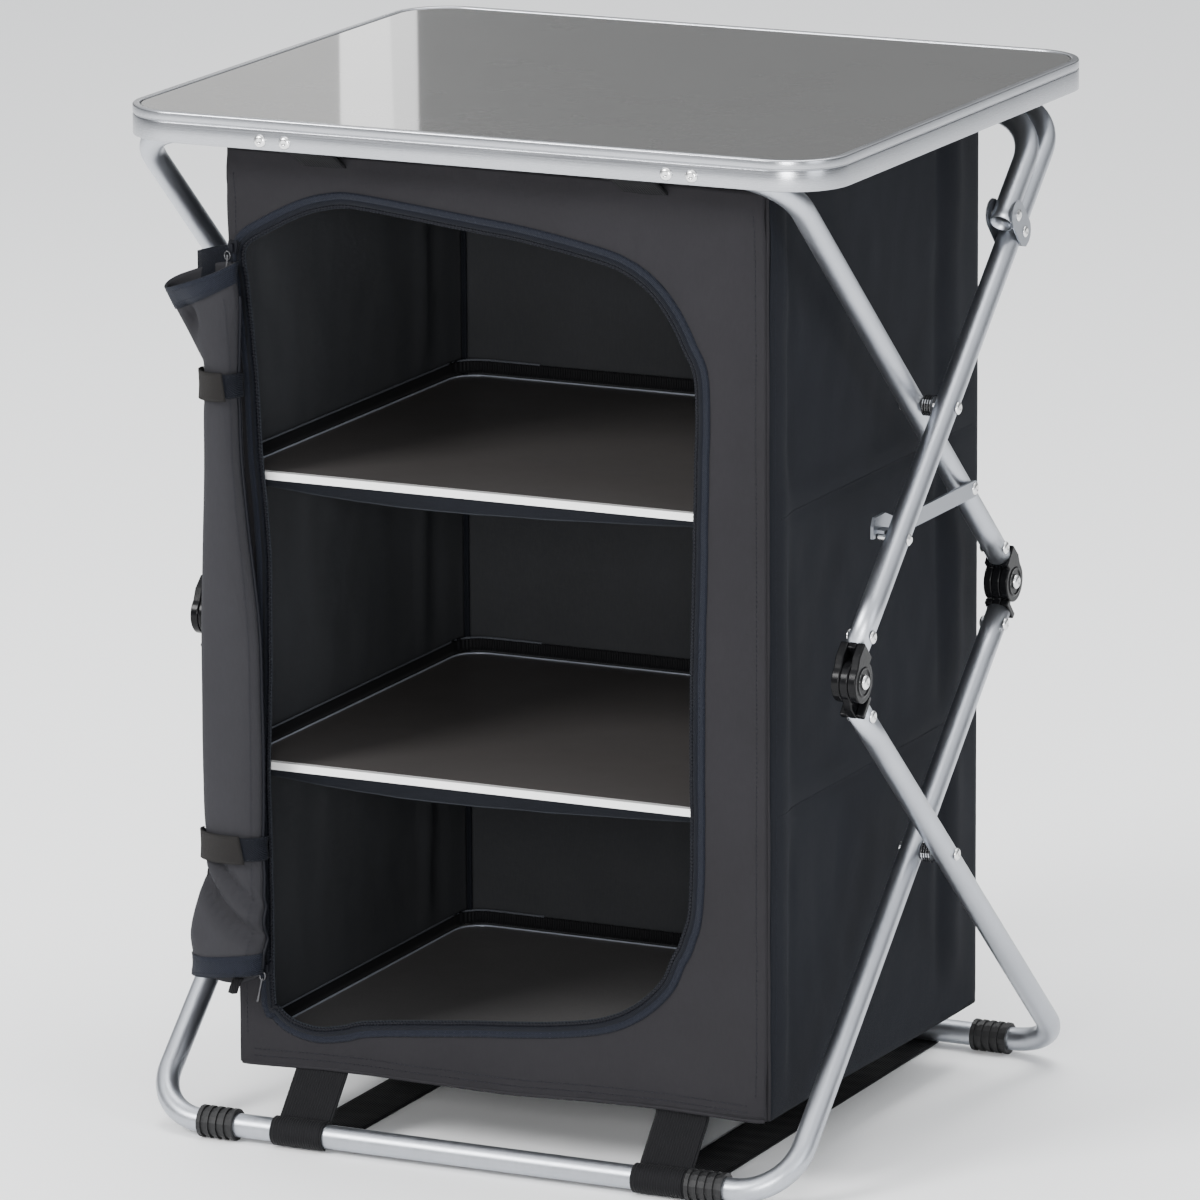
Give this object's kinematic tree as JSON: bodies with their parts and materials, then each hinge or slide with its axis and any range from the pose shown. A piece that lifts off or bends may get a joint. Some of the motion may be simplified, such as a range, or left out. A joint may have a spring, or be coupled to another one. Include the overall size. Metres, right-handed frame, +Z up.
{
  "type": "folding camp kitchen cupboard",
  "caption": "Folding camp kitchen cupboard: framed table top on a double-scissor tube frame, with a fabric cabinet, shelves and a rolled-up zip door.",
  "frame": {"origin": "on the floor, under the middle of the table top", "axes": "+X to the right as seen from the door, +Y to the rear, +Z up"},
  "size_m": [0.6027, 0.5318, 0.82],
  "materials": {
    "tube_silver": "satin silver",
    "rim_aluminium": "satin anodised",
    "board_grey": "glossy laminate with fine speckle",
    "knuckle_black": "glossy moulded plastic",
    "rubber_black": "matte ribbed rubber",
    "rivet_steel": "bright zinc",
    "cloth_charcoal": "plain woven polyester",
    "cloth_dark": "plain woven polyester",
    "binding_navy": "ribbed zip tape with double stitching",
    "webbing_black": "ribbed webbing",
    "shelf_grey": "smooth laminate"
  },
  "bodies": {
    "cabinet": {"cabinet_front_panel": "cloth_charcoal", "cabinet_left_wall": "cloth_dark", "cabinet_right_wall": "cloth_dark", "cabinet_back_wall": "cloth_dark", "cabinet_floor_cloth": "cloth_dark", "opening_zip_tape": "binding_navy", "door_roll": "cloth_charcoal", "door_roll_strap_upper": "webbing_black", "door_roll_strap_lower": "webbing_black", "zip_slider_upper": "rivet_steel", "zip_slider_lower": "rivet_steel", "front_floor_strap_left": "webbing_black", "front_floor_strap_right": "webbing_black"},
    "front_foot": {"front_foot_frame": "tube_silver", "rear_knuckle_lower_left": "knuckle_black", "rear_knuckle_lower_right": "knuckle_black", "rear_knuckle_pin_left": "rivet_steel", "rear_knuckle_pin_right": "rivet_steel", "front_foot_grip_left": "rubber_black", "front_foot_grip_right": "rubber_black", "lower_cross_pivot_left": "rivet_steel", "lower_cross_pivot_right": "rivet_steel"},
    "rear_foot": {"rear_foot_frame": "tube_silver", "front_knuckle_lower_left": "knuckle_black", "front_knuckle_lower_right": "knuckle_black", "front_knuckle_pin_left": "rivet_steel", "front_knuckle_pin_right": "rivet_steel", "rear_foot_grip_left": "rubber_black", "rear_foot_grip_right": "rubber_black"},
    "front_top": {"front_top_frame": "tube_silver", "rear_knuckle_upper_left": "knuckle_black", "rear_knuckle_upper_right": "knuckle_black", "upper_cross_pivot_left": "rivet_steel", "upper_cross_pivot_right": "rivet_steel"},
    "rear_top": {"rear_top_frame": "tube_silver", "front_knuckle_upper_left": "knuckle_black", "front_knuckle_upper_right": "knuckle_black", "latch_catch_pin_left": "rivet_steel", "latch_catch_pin_right": "rivet_steel", "stay_bracket_left": "tube_silver", "stay_bracket_right": "tube_silver", "stay_pivot_rivet_left": "rivet_steel", "stay_pivot_rivet_right": "rivet_steel"},
    "table": {"table_board": "board_grey", "table_rim": "rim_aluminium", "front_table_clip_left": "knuckle_black", "front_table_clip_right": "knuckle_black", "rear_table_clip_left": "knuckle_black", "rear_table_clip_right": "knuckle_black"},
    "stay": {"table_stay": "tube_silver"},
    "latch_bar_left": {"latch_left": "tube_silver"},
    "latch_bar_right": {"latch_right": "tube_silver"},
    "shelf_upper": {"upper_shelf": "shelf_grey", "upper_shelf_edge": "rim_aluminium"},
    "shelf_middle": {"middle_shelf": "shelf_grey", "middle_shelf_edge": "rim_aluminium"},
    "shelf_lower": {"lower_shelf": "shelf_grey", "lower_shelf_edge": "rim_aluminium"},
    "rear_straps": {"rear_floor_strap_left": "webbing_black", "rear_floor_strap_right": "webbing_black"}
  },
  "joints": [
    {"name": "fold", "type": "hinge", "parent": "cabinet", "child": "front_foot", "pos_m": [0, -0.247, 0.0127], "axis": [-1, 0, 0], "range_deg": [0, 35], "deforming": ["cabinet_front_panel", "cabinet_left_wall", "cabinet_right_wall", "cabinet_back_wall", "cabinet_floor_cloth", "opening_zip_tape", "door_roll", "door_roll_strap_upper", "door_roll_strap_lower", "zip_slider_upper", "zip_slider_lower", "front_floor_strap_left", "front_floor_strap_right"]},
    {"name": "lower_cross", "type": "hinge", "parent": "front_foot", "child": "rear_foot", "pos_m": [0, -0.008, 0.23013], "axis": [1, 0, 0], "range_deg": [0, 70]},
    {"name": "rear_knuckle", "type": "hinge", "parent": "front_foot", "child": "front_top", "pos_m": [0, 0.171, 0.40785], "axis": [1, 0, 0], "range_deg": [0, 70]},
    {"name": "front_knuckle", "type": "hinge", "parent": "rear_foot", "child": "rear_top", "pos_m": [0, -0.187, 0.40785], "axis": [-1, 0, 0], "range_deg": [0, 70]},
    {"name": "table_tilt", "type": "hinge", "parent": "front_top", "child": "table", "pos_m": [0, -0.247, 0.803], "axis": [-1, 0, 0], "range_deg": [0, 31.5]},
    {"name": "stay_hinge", "type": "hinge", "parent": "rear_top", "child": "stay", "pos_m": [0, 0.10541, 0.71714], "axis": [1, 0, 0], "range_deg": [0, 3.5]},
    {"name": "latch_left_hinge", "type": "hinge", "parent": "front_top", "child": "latch_bar_left", "pos_m": [-0.27745, 0.08518, 0.5008], "axis": [-1, 0, 0], "range_deg": [0, 35]},
    {"name": "latch_right_hinge", "type": "hinge", "parent": "front_top", "child": "latch_bar_right", "pos_m": [0.27155, 0.08518, 0.5008], "axis": [-1, 0, 0], "range_deg": [0, 35]},
    {"name": "upper_shelf_drop", "type": "slide", "parent": "cabinet", "child": "shelf_upper", "axis": [0, 0, -1], "range_m": [0, 0.412]},
    {"name": "middle_shelf_drop", "type": "slide", "parent": "cabinet", "child": "shelf_middle", "axis": [0, 0, -1], "range_m": [0, 0.232]},
    {"name": "lower_shelf_drop", "type": "slide", "parent": "cabinet", "child": "shelf_lower", "axis": [0, 0, -1], "range_m": [0, 0.053]},
    {"name": "rear_strap_turn", "type": "hinge", "parent": "rear_foot", "child": "rear_straps", "pos_m": [0, 0.231, 0.0127], "axis": [-1, 0, 0], "range_deg": [0, 35]}
  ],
  "couplings": [
    {"joint": "lower_cross", "follows": "fold", "ratio": 2},
    {"joint": "rear_knuckle", "follows": "fold", "ratio": 2},
    {"joint": "front_knuckle", "follows": "fold", "ratio": 2},
    {"joint": "table_tilt", "follows": "fold", "ratio": 0.9},
    {"joint": "stay_hinge", "follows": "fold", "ratio": 0.1},
    {"joint": "latch_left_hinge", "follows": "fold", "ratio": 1},
    {"joint": "latch_right_hinge", "follows": "fold", "ratio": 1},
    {"joint": "upper_shelf_drop", "follows": "fold", "m_per_rad": 0.6737},
    {"joint": "middle_shelf_drop", "follows": "fold", "m_per_rad": 0.3794},
    {"joint": "lower_shelf_drop", "follows": "fold", "m_per_rad": 0.0861},
    {"joint": "rear_strap_turn", "follows": "fold", "ratio": 1}
  ]
}
